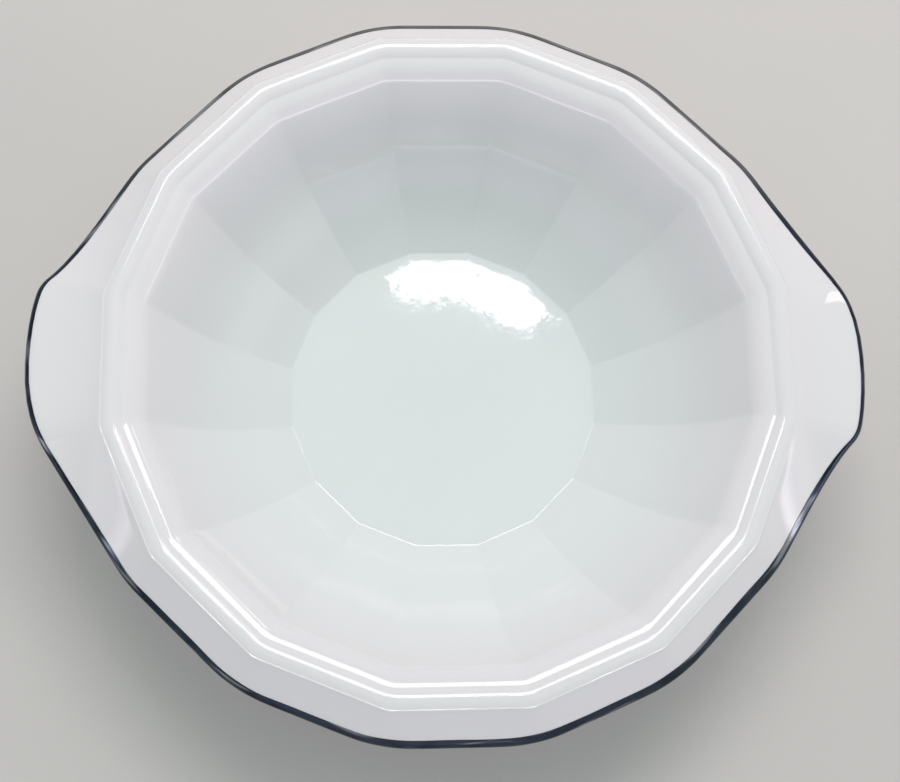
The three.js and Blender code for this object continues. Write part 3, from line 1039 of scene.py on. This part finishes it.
def photo_camera(stage):
    """The camera at the photograph's viewing angle."""
    data = bpy.data.cameras.new("photo camera")
    data.sensor_fit = "HORIZONTAL"
    data.sensor_width = SENSOR_WIDTH
    data.lens = SENSOR_WIDTH * FOCAL_PIXELS / PHOTO_WIDTH
    data.shift_x = (PHOTO_WIDTH / 2 - AXIS_PIXEL[0]) / PHOTO_WIDTH
    data.shift_y = (AXIS_PIXEL[1] - PHOTO_HEIGHT / 2) / PHOTO_WIDTH
    data.clip_start = CLIP_START
    camera = show(data, "photo camera")
    level = math.cos(stage.elevation)
    back = Vector((
        math.sin(stage.azimuth) * level, -math.cos(stage.azimuth) * level, math.sin(stage.elevation)
    ))
    right = Vector((math.cos(stage.azimuth), math.sin(stage.azimuth), 0))
    up = back.cross(right)
    turned_right = right * math.cos(stage.roll) + up * math.sin(stage.roll)
    turned_up = up * math.cos(stage.roll) - right * math.sin(stage.roll)
    turned = Matrix((turned_right, turned_up, back)).transposed().to_4x4()
    position = Vector((0, 0, stage.sight_height)) + back * stage.distance
    camera.matrix_world = Matrix.Translation(position) @ turned
    bpy.context.scene.camera = camera


class BOWL_OT_stage(bpy.types.Operator):
    """Make the camera, the pale floor and the light"""

    bl_idname = "bowl.stage"
    bl_label = "Stage"

    def execute(self, context):
        scene = context.scene
        stage = scene.bowl_stage
        photo_camera(stage)
        mesh = bpy.data.meshes.new("pale_floor")
        corners = [(x * FLOOR_HALF, y * FLOOR_HALF, 0) for x, y in ((-1, -1), (1, -1), (1, 1), (-1, 1))]
        mesh.from_pydata(corners, [], [(0, 1, 2, 3)])
        mesh.materials.append(pale_floor(stage))
        show(mesh, "pale_floor")
        room_light(stage)
        for name, size, place, degrees, radiance, tone in SOFTBOXES:
            softbox(name, getattr(stage, radiance), size, place, degrees, getattr(stage, tone))
        scene.view_settings.view_transform = "Standard"
        return {"FINISHED"}


class BOWL_PT_panel(bpy.types.Panel):
    """Lists the bowl's pieces and their sizes"""

    bl_idname = "BOWL_PT_panel"
    bl_label = "Lugged Cereal Bowl"
    bl_space_type = "VIEW_3D"
    bl_region_type = "UI"
    bl_category = "Bowl"

    def draw(self, context):
        layout = self.layout
        for operator in OPERATORS:
            layout.operator(operator.bl_idname)
        for group_name in GROUPS:
            group = getattr(context.scene, group_name)
            box = layout.box()
            for name in group.__annotations__:
                box.prop(group, name)


OPERATORS = (BOWL_OT_stage, BOWL_OT_casting, BOWL_OT_glaze_coats, BOWL_OT_metal_line)
GROUPS = {"bowl_shape": BowlShape, "bowl_finish": BowlFinish, "bowl_stage": BowlStage}


def register():
    """Adds the bowl's values, operators and panel."""
    for name, group in GROUPS.items():
        bpy.utils.register_class(group)
        setattr(bpy.types.Scene, name, bpy.props.PointerProperty(type=group))
    for operator in OPERATORS:
        bpy.utils.register_class(operator)
    bpy.utils.register_class(BOWL_PT_panel)


def unregister():
    """Takes them away again, last first."""
    bpy.utils.unregister_class(BOWL_PT_panel)
    for operator in reversed(OPERATORS):
        bpy.utils.unregister_class(operator)
    for name, group in reversed(GROUPS.items()):
        delattr(bpy.types.Scene, name)
        bpy.utils.unregister_class(group)


def main():
    """Makes the stage and every piece."""
    register()
    bpy.ops.bowl.stage()
    bpy.ops.bowl.casting()
    bpy.ops.bowl.glaze_coats()
    bpy.ops.bowl.metal_line()


if __name__ == "__main__":
    main()
